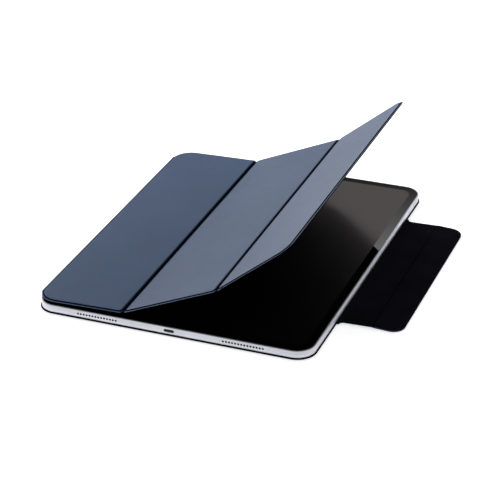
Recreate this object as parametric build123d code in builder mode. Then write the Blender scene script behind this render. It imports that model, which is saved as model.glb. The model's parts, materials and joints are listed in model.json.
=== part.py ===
"""Tri-fold magnetic folio case with its tablet fitted, resting half open on a table.

The frame: X runs from the spine to the closing flap, Y from the tablet's port edge to
its top edge, Z up. The origin is the centre of the case's flat underside.
Every hinge axis runs along Y. All lengths are in millimetres, all angles in degrees.
"""

import os
from math import cos, radians, sin

from build123d import *

# ---- Tablet ----------------------------------------------------------------------------
tablet_width = 214.9
tablet_length = 280.6
tablet_thickness = 5.9
tablet_corner = 14.3
tablet_wall = 1.8
tablet_floor = 0.8
tablet_lower_round = 0.6
tablet_upper_chamfer = 0.2
glass_thickness = 0.9
glass_inset = 0.9
glass_gap = 0.05
glass_proud = 0.2
glass_edge_round = 0.3

speaker_hole = 1.65
speaker_pitch = 2.34
speaker_holes_per_row = 14
speaker_row_x = 57.2
port_width = 8.3
port_height = 2.6
port_depth = 7.0
port_wall = 0.35
port_gap = 0.03
port_recess = 0.2
tongue_width = 6.2
tongue_thickness = 0.65
tongue_recess = 0.9
port_back = 0.8

button_height = 1.9
button_proud = 0.35
button_travel = 0.3
button_collar = 0.5
button_gap = 0.06
button_round = 0.12
collar_extra_length = 1.6
collar_extra_height = 1.0
switch_width = 4.0
switch_height = 1.8
switch_thickness = 0.8
volume_button_length = 9.6
volume_up_y = 118.0
volume_down_y = 105.0
power_button_length = 12.0
power_button_x = 88.0

camera_x = 84.5
camera_y = 117.3
camera_plate_width = 30.0
camera_plate_length = 28.0
camera_plate_corner = 7.0
camera_plate_gap = 0.05
camera_module_width = 26.0
camera_module_length = 24.0
camera_module_height = 2.8
camera_module_corner = 2.5
lens_diameter = 8.0
upper_lens_place = (-5.5, 5.5)
lower_lens_place = (6.0, -4.5)
lens_gap = 0.05
lens_thickness = 0.5
front_camera_width = 7.0
front_camera_length = 4.4
front_camera_height = 2.2
front_camera_corner = 1.0

contact_diameter = 3.5
contact_pitch = 6.0
contact_y = -112.0

display_width = 200.0
display_length = 265.0
display_thickness = 1.1
display_corner = 8.0
battery_width = 62.0
battery_length = 180.0
battery_thickness = 2.4
battery_corner = 2.0
battery_spacing = 126.0
logic_board_width = 52.0
logic_board_length = 196.0
logic_board_thickness = 0.8
shield_thickness = 1.0
shield_pitch = 40.0
processor_shield = 30.0
small_shield_width = 22.0
small_shield_length = 16.0
speaker_box_width = 24.0
speaker_box_length = 26.0
speaker_box_height = 2.6
speaker_box_corner = 3.0
speaker_box_wall_gap = 2.0
mesh_thickness = 0.3
mesh_height = 2.6
inside_gap = 0.1

# ---- Layers of the case ----------------------------------------------------------------
lining = 0.35
skin = 0.40
cover_board = 0.80
back_board_thickness = 1.025
flange = lining + skin
half_flange = flange / 2
step_taper = 34.5
board_clearance = 0.60

# ---- Back panel ------------------------------------------------------------------------
back_overhang = 0.83
back_corner = tablet_corner + back_overhang
back_thickness = lining + back_board_thickness + skin
tablet_gap = 0.05
flange_width = 1.8
camera_opening_gap = 2.6
rim_width = 0.9

# ---- Hinges ----------------------------------------------------------------------------
hinge_setback = 0.70
web_radius = half_flange
fold_flange = 0.80
cover_clearance = 0.45

# ---- Cover -----------------------------------------------------------------------------
cover_length = 276.0
spine_length = 250.0
spine_corner = 1.0
panel_widths = (71.5, 80.5, 70.5)
panel_tilts = (1.5, 23.5, 39.1)
cover_outer_corner = 15.0
cover_free_corner = 11.0
panel_corner = 2.5
field_corner = 3.2

# ---- Closing flap ----------------------------------------------------------------------
flap_length = 170.5
flap_centre_y = 5.5
flap_soft_width = 12.6
flap_tip_width = 22.2
flap_tilt = 1.6
flap_tip_tilt = -3.1
flap_bend_setback = 1.2
flap_tip_setback = 0.8
flap_layer = 0.40
flap_board_thickness = 0.50
flap_board_inset = 1.6
flap_corner = 10.0
flap_root_flare = 3.4
flap_root_strip = 0.6

# ---- Magnets ---------------------------------------------------------------------------
magnet_width = 6.0
magnet_length = 18.0
magnet_play = 0.1
cover_magnet = cover_board - magnet_play
back_magnet = back_board_thickness - magnet_play
flap_magnet = flap_board_thickness - magnet_play
tablet_magnet = 1.2
magnet_column_x = 97.0
magnet_rows = 6
magnet_row_pitch = 36.0
cover_magnet_edge = 12.0
cover_magnet_rows = (-96.0, -32.0, 32.0, 96.0)
flap_magnet_rows = (-60.0, -20.0, 20.0, 60.0)
sleep_magnet_place = (18.0, 64.0)

# ---- Derived places --------------------------------------------------------------------
back_width = tablet_width + 2 * back_overhang
back_length = tablet_length + 2 * back_overhang
flange_mid = back_thickness - half_flange
tablet_bottom = back_thickness + tablet_gap
tablet_top = tablet_bottom + tablet_thickness
housing_height = tablet_thickness - glass_proud
tablet_mid = tablet_bottom + tablet_thickness / 2
inside_floor = tablet_bottom + tablet_floor
glass_bottom = tablet_top - glass_thickness
hinge_x = back_width / 2 + hinge_setback
cover_hinge_z = tablet_top + cover_clearance + half_flange


def hinge_frame(x, z, tilt):
    """Plane on a hinge axis: local X leads away along the panel, local Z is its upper face."""
    angle = radians(tilt)
    return Plane(
        origin=(x, 0, z),
        x_dir=(cos(angle), 0, sin(angle)),
        z_dir=(-sin(angle), 0, cos(angle)),
    )


def hinge_beyond(x, z, tilt, width):
    """The next hinge axis, one panel width further on."""
    return x + width * cos(radians(tilt)), z + width * sin(radians(tilt))


spine_hinge = (-hinge_x, flange_mid)
cover_hinge = (-hinge_x, cover_hinge_z)
fold_1 = hinge_beyond(*cover_hinge, panel_tilts[0], panel_widths[0])
fold_2 = hinge_beyond(*fold_1, panel_tilts[1], panel_widths[1])
flap_root = (hinge_x, flange_mid)
flap_bend = hinge_beyond(*flap_root, flap_tilt, flap_soft_width)
flap_tip = hinge_beyond(*flap_bend, flap_tilt, flap_soft_width)

back_frame = Plane(origin=(0, 0, flange_mid), x_dir=(-1, 0, 0), z_dir=(0, 0, -1))
spine_frame = hinge_frame(*spine_hinge, 90)
panel_frames = (
    hinge_frame(*cover_hinge, panel_tilts[0]),
    hinge_frame(*fold_1, panel_tilts[1]),
    hinge_frame(*fold_2, panel_tilts[2]),
)
flap_inner_frame = hinge_frame(*flap_root, flap_tilt)
flap_middle_frame = hinge_frame(*flap_bend, flap_tilt)
flap_outer_frame = hinge_frame(*flap_tip, flap_tip_tilt)


# ---- Shared shapes ---------------------------------------------------------------------
def draw_outline(near, far, length, near_corner, far_corner, centre_y=0.0):
    """Rounded outline in the current sketch, from near to far along local X."""
    with Locations(((near + far) / 2, centre_y)):
        Rectangle(far - near, length)
    if near_corner:
        fillet(vertices().group_by(Axis.X)[0], near_corner)
    if far_corner:
        fillet(vertices().group_by(Axis.X)[-1], far_corner)


class Panel:
    """Sizes of one stiffened panel, shared by its skin, board and lining."""

    def __init__(self, frame, near, far, length, insets, corners, board_thickness):
        self.frame = frame
        self.near, self.far, self.length = near, far, length
        self.near_inset, self.far_inset, self.end_inset = insets
        self.near_corner, self.far_corner, self.near_field, self.far_field = corners
        self.board_thickness = board_thickness

    def draw_edge(self):
        draw_outline(self.near, self.far, self.length, self.near_corner, self.far_corner)

    def draw_field(self, inset=0.0):
        draw_outline(
            self.near + self.near_inset + inset,
            self.far - self.far_inset - inset,
            self.length - 2 * (self.end_inset + inset),
            self.near_field - inset,
            self.far_field - inset,
        )

    @property
    def layer_split(self):
        """Height of the face where lining and board meet."""
        return lining - half_flange


def panel_skin(panel):
    """Outer skin: a thin flange all round and a raised field wrapped over the board."""
    with BuildPart() as result:
        with BuildSketch(panel.frame.offset(panel.layer_split)):
            panel.draw_edge()
        extrude(amount=skin)
        with BuildSketch(panel.frame.offset(half_flange)):
            panel.draw_field()
        extrude(amount=panel.board_thickness, taper=step_taper)
        with BuildSketch(panel.frame.offset(panel.layer_split)):
            panel.draw_field(board_clearance)
        extrude(amount=panel.board_thickness, mode=Mode.SUBTRACT)
    return result


def panel_board(panel, pockets=()):
    """Stiffener board, with a through pocket at each magnet centre."""
    with BuildPart() as result:
        with BuildSketch(panel.frame.offset(panel.layer_split)):
            panel.draw_field(board_clearance)
            if pockets:
                with Locations(*pockets):
                    Rectangle(
                        magnet_width + magnet_play,
                        magnet_length + magnet_play,
                        mode=Mode.SUBTRACT,
                    )
        extrude(amount=panel.board_thickness)
    return result


def panel_lining(panel):
    """Microfibre lining over the whole inner face."""
    with BuildPart() as result:
        with BuildSketch(panel.frame.offset(-half_flange)):
            panel.draw_edge()
        extrude(amount=lining)
    return result


def magnet_group(frame, bottom, thickness, centres):
    """Flat magnets of one size, standing at bottom in the given frame."""
    with BuildPart() as result:
        with BuildSketch(frame.offset(bottom)):
            with Locations(*centres):
                Rectangle(magnet_width, magnet_length)
        extrude(amount=thickness)
    return result


def hinge_web(axis, length, centre_y=0.0):
    """Bead of flexible web on a hinge axis."""
    start = Plane(
        origin=(axis[0], centre_y - length / 2, axis[1]),
        x_dir=(1, 0, 0),
        z_dir=(0, 1, 0),
    )
    with BuildPart() as result:
        with BuildSketch(start):
            Circle(web_radius)
        extrude(amount=length)
    return result


# ---- Back panel ------------------------------------------------------------------------
back_field_corner = back_corner - flange_width
back_panel = Panel(
    back_frame,
    near=-back_width / 2,
    far=back_width / 2,
    length=back_length,
    insets=(flange_width, flange_width, flange_width),
    corners=(back_corner, back_corner, back_field_corner, back_field_corner),
    board_thickness=back_board_thickness,
)
back_magnet_places = [
    (side * magnet_column_x, (row - (magnet_rows - 1) / 2) * magnet_row_pitch)
    for side in (-1, 1)
    for row in range(magnet_rows)
]
opening_width = camera_plate_width + 2 * camera_opening_gap
opening_length = camera_plate_length + 2 * camera_opening_gap
opening_corner = camera_plate_corner + camera_opening_gap


# The back panel's local X points to -X, so the opening is mirrored to camera_x there.
with BuildSketch(back_frame) as camera_opening:
    with Locations((-camera_x, camera_y)):
        RectangleRounded(opening_width, opening_length, opening_corner)

with BuildSketch(back_frame) as rim_outline:
    with Locations((-camera_x, camera_y)):
        RectangleRounded(
            opening_width + 2 * rim_width,
            opening_length + 2 * rim_width,
            opening_corner + rim_width,
        )

with BuildPart() as back_skin:
    add(panel_skin(back_panel).part)
    extrude(camera_opening.sketch, amount=back_thickness, both=True, mode=Mode.SUBTRACT)

with BuildPart() as back_board:
    add(panel_board(back_panel, back_magnet_places).part)
    extrude(rim_outline.sketch, amount=back_thickness, both=True, mode=Mode.SUBTRACT)

with BuildPart() as back_lining:
    add(panel_lining(back_panel).part)
    extrude(camera_opening.sketch, amount=back_thickness, both=True, mode=Mode.SUBTRACT)

# Moulded rim that closes the cut edge of the board round the camera opening.
with BuildPart() as camera_opening_rim:
    with BuildSketch(back_frame.offset(back_panel.layer_split)):
        with Locations((-camera_x, camera_y)):
            RectangleRounded(
                opening_width + 2 * rim_width,
                opening_length + 2 * rim_width,
                opening_corner + rim_width,
            )
            RectangleRounded(
                opening_width, opening_length, opening_corner, mode=Mode.SUBTRACT
            )
    extrude(amount=back_board_thickness)

back_magnets = magnet_group(
    back_frame,
    back_panel.layer_split + magnet_play / 2,
    back_magnet,
    back_magnet_places,
)

# ---- Spine -----------------------------------------------------------------------------
spine_width = cover_hinge_z - flange_mid
spine = Panel(
    spine_frame,
    near=hinge_setback,
    far=spine_width - hinge_setback,
    length=spine_length,
    insets=(fold_flange, fold_flange, flange_width),
    corners=(spine_corner,) * 4,
    board_thickness=cover_board,
)
spine_skin = panel_skin(spine)
spine_board = panel_board(spine)
spine_lining = panel_lining(spine)
spine_web = hinge_web(spine_hinge, spine_length)
cover_web = hinge_web(cover_hinge, spine_length)

# ---- Cover panels ----------------------------------------------------------------------
panel_1 = Panel(
    panel_frames[0],
    near=hinge_setback,
    far=panel_widths[0] - hinge_setback,
    length=cover_length,
    insets=(fold_flange, fold_flange, flange_width),
    corners=(cover_outer_corner, panel_corner, cover_outer_corner - fold_flange, field_corner),
    board_thickness=cover_board,
)
panel_2 = Panel(
    panel_frames[1],
    near=hinge_setback,
    far=panel_widths[1] - hinge_setback,
    length=cover_length,
    insets=(fold_flange, fold_flange, flange_width),
    corners=(panel_corner, panel_corner, field_corner, field_corner),
    board_thickness=cover_board,
)
panel_3 = Panel(
    panel_frames[2],
    near=hinge_setback,
    far=panel_widths[2],
    length=cover_length,
    insets=(fold_flange, flange_width, flange_width),
    corners=(panel_corner, cover_free_corner, field_corner, cover_free_corner - flange_width),
    board_thickness=cover_board,
)

# Rows of magnets: panel 1 holds the folded stand, panel 3 holds the cover shut.
stand_magnet_places = [(cover_magnet_edge, y) for y in cover_magnet_rows]
closure_magnet_places = [
    (panel_widths[2] - cover_magnet_edge, y) for y in cover_magnet_rows
]

cover_skin_1 = panel_skin(panel_1)
cover_board_1 = panel_board(panel_1, stand_magnet_places)
cover_lining_1 = panel_lining(panel_1)
cover_skin_2 = panel_skin(panel_2)
cover_board_2 = panel_board(panel_2)
cover_lining_2 = panel_lining(panel_2)
cover_skin_3 = panel_skin(panel_3)
cover_board_3 = panel_board(panel_3, closure_magnet_places + [sleep_magnet_place])
cover_lining_3 = panel_lining(panel_3)

cover_magnet_bottom = panel_1.layer_split + magnet_play / 2
stand_magnets = magnet_group(
    panel_1.frame, cover_magnet_bottom, cover_magnet, stand_magnet_places
)
closure_magnets = magnet_group(
    panel_3.frame, cover_magnet_bottom, cover_magnet, closure_magnet_places
)
sleep_magnet = magnet_group(
    panel_3.frame, cover_magnet_bottom, cover_magnet, [sleep_magnet_place]
)

fold_web_length = cover_length - 2 * panel_corner
fold_web_1 = hinge_web(fold_1, fold_web_length)
fold_web_2 = hinge_web(fold_2, fold_web_length)


# ---- Closing flap ----------------------------------------------------------------------
def flap_layer_part(frame, bottom, near, far):
    """One soft layer of a flap section, from near to far."""
    with BuildPart() as result:
        with BuildSketch(frame.offset(bottom)):
            draw_outline(near, far, flap_length, 0, 0, flap_centre_y)
        extrude(amount=flap_layer)
    return result


def flap_root_part(bottom):
    """The section next to the back panel, whose ends flare out where it meets the panel."""
    near = hinge_setback
    far = flap_soft_width - flap_bend_setback
    strip = flap_root_strip
    with BuildPart() as result:
        with BuildSketch(flap_inner_frame.offset(bottom)):
            with Locations(((near + far) / 2, flap_centre_y)):
                Rectangle(far - near, flap_length)
            with Locations((near + strip / 2, flap_centre_y)):
                Rectangle(strip, flap_length + 2 * flap_root_flare)
            inner_corners = (
                vertices()
                .filter_by_position(Axis.X, near + strip / 2, near + 2 * strip)
                .filter_by_position(
                    Axis.Y,
                    flap_centre_y - flap_length / 2 - strip / 2,
                    flap_centre_y + flap_length / 2 + strip / 2,
                )
            )
            fillet(inner_corners, flap_root_flare - strip)
        extrude(amount=flap_layer)
    return result


flap_middle_near = flap_bend_setback
flap_middle_far = flap_soft_width - flap_tip_setback
flap_skin_inner = flap_root_part(-flap_layer)
flap_lining_inner = flap_root_part(0)
flap_skin_middle = flap_layer_part(
    flap_middle_frame, -flap_layer, flap_middle_near, flap_middle_far
)
flap_lining_middle = flap_layer_part(flap_middle_frame, 0, flap_middle_near, flap_middle_far)


def draw_flap_tip(inset=0.0):
    draw_outline(
        flap_tip_setback + inset,
        flap_tip_width - inset,
        flap_length - 2 * inset,
        0,
        flap_corner - inset,
        flap_centre_y,
    )


half_flap_board = flap_board_thickness / 2
flap_magnet_places = [(flap_tip_width / 2, flap_centre_y + y) for y in flap_magnet_rows]

# The tip is stiffened: its skin turns up round the board's edge to meet the lining.
with BuildPart() as flap_skin_outer:
    with BuildSketch(flap_outer_frame.offset(-half_flap_board - flap_layer)):
        draw_flap_tip()
    extrude(amount=flap_layer + flap_board_thickness)
    with BuildSketch(flap_outer_frame.offset(-half_flap_board)):
        draw_flap_tip(flap_board_inset)
    extrude(amount=flap_board_thickness, mode=Mode.SUBTRACT)

with BuildPart() as flap_board:
    with BuildSketch(flap_outer_frame.offset(-half_flap_board)):
        draw_flap_tip(flap_board_inset)
        with Locations(*flap_magnet_places):
            Rectangle(
                magnet_width + magnet_play, magnet_length + magnet_play, mode=Mode.SUBTRACT
            )
    extrude(amount=flap_board_thickness)

with BuildPart() as flap_lining_outer:
    with BuildSketch(flap_outer_frame.offset(half_flap_board)):
        draw_flap_tip()
    extrude(amount=flap_layer)

flap_magnets = magnet_group(
    flap_outer_frame, -half_flap_board + magnet_play / 2, flap_magnet, flap_magnet_places
)

flap_root_web = hinge_web(flap_root, flap_length, flap_centre_y)
flap_bend_web = hinge_web(flap_bend, flap_length, flap_centre_y)
flap_tip_web = hinge_web(flap_tip, flap_length, flap_centre_y)

# ---- Tablet housing --------------------------------------------------------------------
inside_width = tablet_width - 2 * tablet_wall
inside_length = tablet_length - 2 * tablet_wall
inside_corner = tablet_corner - tablet_wall
seat_inset = glass_inset - glass_gap
front_wall = Plane.XZ.offset(tablet_length / 2)
right_wall = Plane(origin=(tablet_width / 2, 0, 0), x_dir=(0, 1, 0), z_dir=(1, 0, 0))
back_wall = Plane(origin=(0, tablet_length / 2, 0), x_dir=(-1, 0, 0), z_dir=(0, 1, 0))
speaker_row_pitch = 2 * speaker_row_x

with BuildPart() as tablet_housing:
    with BuildSketch(Plane.XY.offset(tablet_bottom)):
        RectangleRounded(tablet_width, tablet_length, tablet_corner)
    extrude(amount=housing_height)
    fillet(edges().group_by(Axis.Z)[0], tablet_lower_round)
    chamfer(edges().group_by(Axis.Z)[-1], tablet_upper_chamfer)
    with BuildSketch(Plane.XY.offset(inside_floor)):
        RectangleRounded(inside_width, inside_length, inside_corner)
    extrude(amount=tablet_thickness, mode=Mode.SUBTRACT)
    with BuildSketch(Plane.XY.offset(glass_bottom - glass_gap)):
        RectangleRounded(
            tablet_width - 2 * seat_inset,
            tablet_length - 2 * seat_inset,
            tablet_corner - seat_inset,
        )
    extrude(amount=tablet_thickness, mode=Mode.SUBTRACT)
    # Two rows of speaker holes in the port edge and two in the top edge.
    with BuildSketch(Plane.XZ):
        with GridLocations(speaker_row_pitch, 0, 2, 1):
            with Locations((0, tablet_mid)):
                with GridLocations(speaker_pitch, 0, speaker_holes_per_row, 1):
                    Circle(speaker_hole / 2)
    extrude(amount=tablet_length, both=True, mode=Mode.SUBTRACT)
    with BuildSketch(front_wall):
        with Locations((0, tablet_mid)):
            SlotOverall(port_width, port_height)
    extrude(amount=-2 * tablet_wall, mode=Mode.SUBTRACT)
    with BuildSketch(right_wall):
        with Locations((volume_up_y, tablet_mid), (volume_down_y, tablet_mid)):
            SlotOverall(volume_button_length + 2 * button_gap, button_height + 2 * button_gap)
    extrude(amount=-2 * tablet_wall, mode=Mode.SUBTRACT)
    with BuildSketch(back_wall):
        with Locations((-power_button_x, tablet_mid)):
            SlotOverall(power_button_length + 2 * button_gap, button_height + 2 * button_gap)
    extrude(amount=-2 * tablet_wall, mode=Mode.SUBTRACT)
    with BuildSketch(Plane.XY.offset(tablet_bottom)):
        with Locations((camera_x, camera_y)):
            RectangleRounded(
                camera_plate_width + 2 * camera_plate_gap,
                camera_plate_length + 2 * camera_plate_gap,
                camera_plate_corner + camera_plate_gap,
            )
    extrude(amount=tablet_floor, both=True, mode=Mode.SUBTRACT)
    # Three round openings for the accessory contacts.
    with Locations((0, contact_y, tablet_bottom)):
        with GridLocations(contact_pitch, 0, 3, 1):
            Hole(contact_diameter / 2 + button_gap)

# ---- Tablet glass and display ----------------------------------------------------------
with BuildPart() as tablet_glass:
    with BuildSketch(Plane.XY.offset(glass_bottom)):
        RectangleRounded(
            tablet_width - 2 * glass_inset,
            tablet_length - 2 * glass_inset,
            tablet_corner - glass_inset,
        )
    extrude(amount=glass_thickness)
    fillet(edges().group_by(Axis.Z)[-1], glass_edge_round)

display_top = glass_bottom - inside_gap
with BuildPart() as tablet_display:
    with BuildSketch(Plane.XY.offset(display_top - display_thickness)):
        RectangleRounded(display_width, display_length, display_corner)
    extrude(amount=display_thickness)

# ---- Tablet inside ---------------------------------------------------------------------
inside_base = inside_floor + inside_gap
with BuildPart() as tablet_battery_cells:
    with BuildSketch(Plane.XY.offset(inside_base)):
        with GridLocations(battery_spacing, 0, 2, 1):
            RectangleRounded(battery_width, battery_length, battery_corner)
    extrude(amount=battery_thickness)

with BuildPart() as tablet_logic_board:
    with BuildSketch(Plane.XY.offset(inside_base)):
        Rectangle(logic_board_width, logic_board_length)
    extrude(amount=logic_board_thickness)
    # One large shield can over the processor and two smaller ones.
    with BuildSketch(Plane.XY.offset(inside_base + logic_board_thickness)):
        with Locations((0, shield_pitch)):
            Rectangle(processor_shield, processor_shield)
        with Locations((0, 0), (0, -shield_pitch)):
            Rectangle(small_shield_width, small_shield_length)
    extrude(amount=shield_thickness)

speaker_box_y = inside_length / 2 - speaker_box_wall_gap - speaker_box_length / 2
with BuildPart() as tablet_speakers:
    with BuildSketch(Plane.XY.offset(inside_base)):
        with GridLocations(speaker_row_pitch, 2 * speaker_box_y, 2, 2):
            RectangleRounded(speaker_box_width, speaker_box_length, speaker_box_corner)
    extrude(amount=speaker_box_height)

mesh_length = speaker_pitch * speaker_holes_per_row
with BuildPart() as speaker_meshes:
    with BuildSketch(Plane.XY.offset(tablet_mid - mesh_height / 2)):
        with GridLocations(
            speaker_row_pitch, inside_length - mesh_thickness - inside_gap, 2, 2
        ):
            Rectangle(mesh_length, mesh_thickness)
    extrude(amount=mesh_height)

with BuildPart() as charging_port_shell:
    with BuildSketch(front_wall.offset(-port_recess)):
        with Locations((0, tablet_mid)):
            SlotOverall(port_width - 2 * port_gap, port_height - 2 * port_gap)
    extrude(amount=-port_depth)
    with BuildSketch(front_wall):
        with Locations((0, tablet_mid)):
            SlotOverall(port_width - 2 * port_wall, port_height - 2 * port_wall)
    extrude(amount=-(port_depth - port_back), mode=Mode.SUBTRACT)

with BuildPart() as charging_port_tongue:
    with BuildSketch(front_wall.offset(-tongue_recess)):
        with Locations((0, tablet_mid)):
            Rectangle(tongue_width, tongue_thickness)
    extrude(amount=-(port_depth - port_back - tongue_recess))

lens_places = [
    (camera_x + x, camera_y + y) for x, y in (upper_lens_place, lower_lens_place)
]
with BuildPart() as rear_camera_plate:
    with BuildSketch(Plane.XY.offset(tablet_bottom)):
        with Locations((camera_x, camera_y)):
            RectangleRounded(camera_plate_width, camera_plate_length, camera_plate_corner)
    extrude(amount=tablet_floor - camera_plate_gap)
    with BuildSketch(Plane.XY.offset(tablet_bottom)):
        with Locations(*lens_places):
            Circle(lens_diameter / 2 + lens_gap)
    extrude(amount=lens_thickness + inside_gap, mode=Mode.SUBTRACT)

with BuildPart() as rear_camera_lenses:
    with BuildSketch(Plane.XY.offset(tablet_bottom + inside_gap)):
        with Locations(*lens_places):
            Circle(lens_diameter / 2)
    extrude(amount=lens_thickness)

with BuildPart() as rear_camera_module:
    with BuildSketch(Plane.XY.offset(inside_base)):
        with Locations((camera_x, camera_y)):
            RectangleRounded(
                camera_module_width, camera_module_length, camera_module_corner
            )
    extrude(amount=camera_module_height)

with BuildPart() as front_camera:
    with BuildSketch(Plane.XY.offset(glass_bottom - inside_gap - front_camera_height)):
        with Locations((0, inside_length / 2 - front_camera_length / 2 - 2 * inside_gap)):
            RectangleRounded(front_camera_width, front_camera_length, front_camera_corner)
    extrude(amount=front_camera_height)

tablet_magnets = magnet_group(Plane.XY, inside_base, tablet_magnet, back_magnet_places)

with BuildPart() as accessory_contacts:
    with BuildSketch(Plane.XY.offset(tablet_bottom + lens_gap)):
        with Locations((0, contact_y)):
            with GridLocations(contact_pitch, 0, 3, 1):
                Circle(contact_diameter / 2)
    extrude(amount=tablet_floor - lens_gap)


# ---- Buttons ---------------------------------------------------------------------------
def button(plane, length):
    """Pill-shaped key through the wall at the plane's origin, with a wider collar inside."""
    inner_face = tablet_wall + inside_gap
    with BuildPart() as result:
        with BuildSketch(plane.offset(button_proud)):
            SlotOverall(length, button_height)
        extrude(amount=-(button_proud + inner_face + button_collar))
        with BuildSketch(plane.offset(-inner_face)):
            SlotOverall(length + collar_extra_length, button_height + collar_extra_height)
        extrude(amount=-button_collar)
        fillet(faces().sort_by(Axis(plane.origin, plane.z_dir))[-1].edges(), button_round)
    return result


def wall_point(wall, along):
    """The wall's plane moved to a key's centre."""
    return Plane(
        origin=wall.from_local_coords(Vector(along, tablet_mid, 0)),
        x_dir=wall.x_dir,
        z_dir=wall.z_dir,
    )


volume_up_plane = wall_point(right_wall, volume_up_y)
volume_down_plane = wall_point(right_wall, volume_down_y)
power_plane = wall_point(back_wall, -power_button_x)
volume_up_button = button(volume_up_plane, volume_button_length)
volume_down_button = button(volume_down_plane, volume_button_length)
power_button = button(power_plane, power_button_length)

# Dome switches behind the three keys, just past the end of the key travel.
switch_depth = tablet_wall + inside_gap + button_collar + button_travel + inside_gap
with BuildPart() as key_switches:
    for key_plane in (volume_up_plane, volume_down_plane, power_plane):
        with BuildSketch(key_plane.offset(-switch_depth)):
            Rectangle(switch_width, switch_height)
        extrude(amount=-switch_thickness)

# ---- Export ----------------------------------------------------------------------------
pieces = {
    "back_skin": back_skin,
    "back_board": back_board,
    "back_lining": back_lining,
    "back_magnets": back_magnets,
    "camera_opening_rim": camera_opening_rim,
    "spine_web": spine_web,
    "flap_root_web": flap_root_web,
    "spine_skin": spine_skin,
    "spine_board": spine_board,
    "spine_lining": spine_lining,
    "cover_web": cover_web,
    "cover_skin_1": cover_skin_1,
    "cover_board_1": cover_board_1,
    "cover_lining_1": cover_lining_1,
    "stand_magnets": stand_magnets,
    "fold_web_1": fold_web_1,
    "cover_skin_2": cover_skin_2,
    "cover_board_2": cover_board_2,
    "cover_lining_2": cover_lining_2,
    "fold_web_2": fold_web_2,
    "cover_skin_3": cover_skin_3,
    "cover_board_3": cover_board_3,
    "cover_lining_3": cover_lining_3,
    "closure_magnets": closure_magnets,
    "sleep_magnet": sleep_magnet,
    "flap_skin_inner": flap_skin_inner,
    "flap_lining_inner": flap_lining_inner,
    "flap_bend_web": flap_bend_web,
    "flap_skin_middle": flap_skin_middle,
    "flap_lining_middle": flap_lining_middle,
    "flap_tip_web": flap_tip_web,
    "flap_skin_outer": flap_skin_outer,
    "flap_board": flap_board,
    "flap_lining_outer": flap_lining_outer,
    "flap_magnets": flap_magnets,
    "tablet_housing": tablet_housing,
    "tablet_glass": tablet_glass,
    "tablet_display": tablet_display,
    "tablet_battery_cells": tablet_battery_cells,
    "tablet_logic_board": tablet_logic_board,
    "tablet_speakers": tablet_speakers,
    "speaker_meshes": speaker_meshes,
    "charging_port_shell": charging_port_shell,
    "charging_port_tongue": charging_port_tongue,
    "rear_camera_plate": rear_camera_plate,
    "rear_camera_lenses": rear_camera_lenses,
    "rear_camera_module": rear_camera_module,
    "front_camera": front_camera,
    "tablet_magnets": tablet_magnets,
    "accessory_contacts": accessory_contacts,
    "key_switches": key_switches,
    "power_button": power_button,
    "volume_up_button": volume_up_button,
    "volume_down_button": volume_down_button,
}

os.makedirs("parts", exist_ok=True)
for name, piece in pieces.items():
    piece.part.label = name
    export_step(piece.part, f"parts/{name}.step")
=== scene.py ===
"""Looks of a tri-fold magnetic folio case with its tablet fitted, built round its CAD frame.

The frame's own nodes keep their shapes and get procedural materials. The case's leather skins, its
microfibre linings and the strips at its hinges are built anew here, in the places of the CAD ones.
"""

import json
import math

import bmesh
import bpy
from mathutils import Matrix, Vector


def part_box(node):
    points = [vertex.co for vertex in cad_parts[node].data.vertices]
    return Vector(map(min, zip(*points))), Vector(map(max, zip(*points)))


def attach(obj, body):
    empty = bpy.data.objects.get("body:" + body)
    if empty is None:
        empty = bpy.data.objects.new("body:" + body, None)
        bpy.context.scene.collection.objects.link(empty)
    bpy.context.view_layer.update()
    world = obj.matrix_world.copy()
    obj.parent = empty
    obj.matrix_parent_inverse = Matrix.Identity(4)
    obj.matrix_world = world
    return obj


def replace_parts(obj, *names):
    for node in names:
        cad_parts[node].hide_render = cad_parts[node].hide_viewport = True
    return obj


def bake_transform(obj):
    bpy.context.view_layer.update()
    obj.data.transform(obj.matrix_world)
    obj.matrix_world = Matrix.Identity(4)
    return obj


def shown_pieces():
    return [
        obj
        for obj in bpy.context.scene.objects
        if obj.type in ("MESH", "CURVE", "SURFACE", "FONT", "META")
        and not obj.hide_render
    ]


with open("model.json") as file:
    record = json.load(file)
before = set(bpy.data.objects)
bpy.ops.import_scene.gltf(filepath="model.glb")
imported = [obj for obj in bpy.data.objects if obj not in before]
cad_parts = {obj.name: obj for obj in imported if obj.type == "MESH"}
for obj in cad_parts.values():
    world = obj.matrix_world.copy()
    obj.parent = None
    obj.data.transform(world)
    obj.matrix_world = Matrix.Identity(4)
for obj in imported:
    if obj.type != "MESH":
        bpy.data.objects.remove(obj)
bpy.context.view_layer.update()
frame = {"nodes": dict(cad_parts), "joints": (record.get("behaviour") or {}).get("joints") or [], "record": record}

MM = 0.001

# ---- Sizes that the looks share with the CAD layers, in metres ------------------------------
LINING = 0.35 * MM
SKIN = 0.40 * MM
COVER_BOARD = 0.80 * MM
BACK_BOARD = 1.025 * MM
HALF_FLANGE = (LINING + SKIN) / 2
SPLIT = LINING - HALF_FLANGE  # height of the face between skin and lining over the axis line
SETBACK = 0.70 * MM
FOLD_FLANGE = 0.80 * MM
END_FLANGE = 1.80 * MM
POCKET_INSET = 0.60 * MM
FLAP_LAYER = 0.40 * MM
FLAP_BOARD = 0.50 * MM
FLAP_BOARD_INSET = 1.60 * MM
FLAP_BEND_SETBACK = 1.20 * MM
FLAP_TIP_SETBACK = 0.80 * MM
FLAP_FLARE = 3.40 * MM
FLAP_CORNER = 10.0 * MM
PANEL_CORNER = 2.5 * MM
FIELD_CORNER = 3.2 * MM
COVER_OUTER_CORNER = 15.0 * MM
COVER_FREE_CORNER = 11.0 * MM
SPINE_CORNER = 1.0 * MM
BACK_CORNER = 15.13 * MM
RIM_WIDTH = 0.90 * MM
OPENING_CORNER = 9.6 * MM

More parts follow.
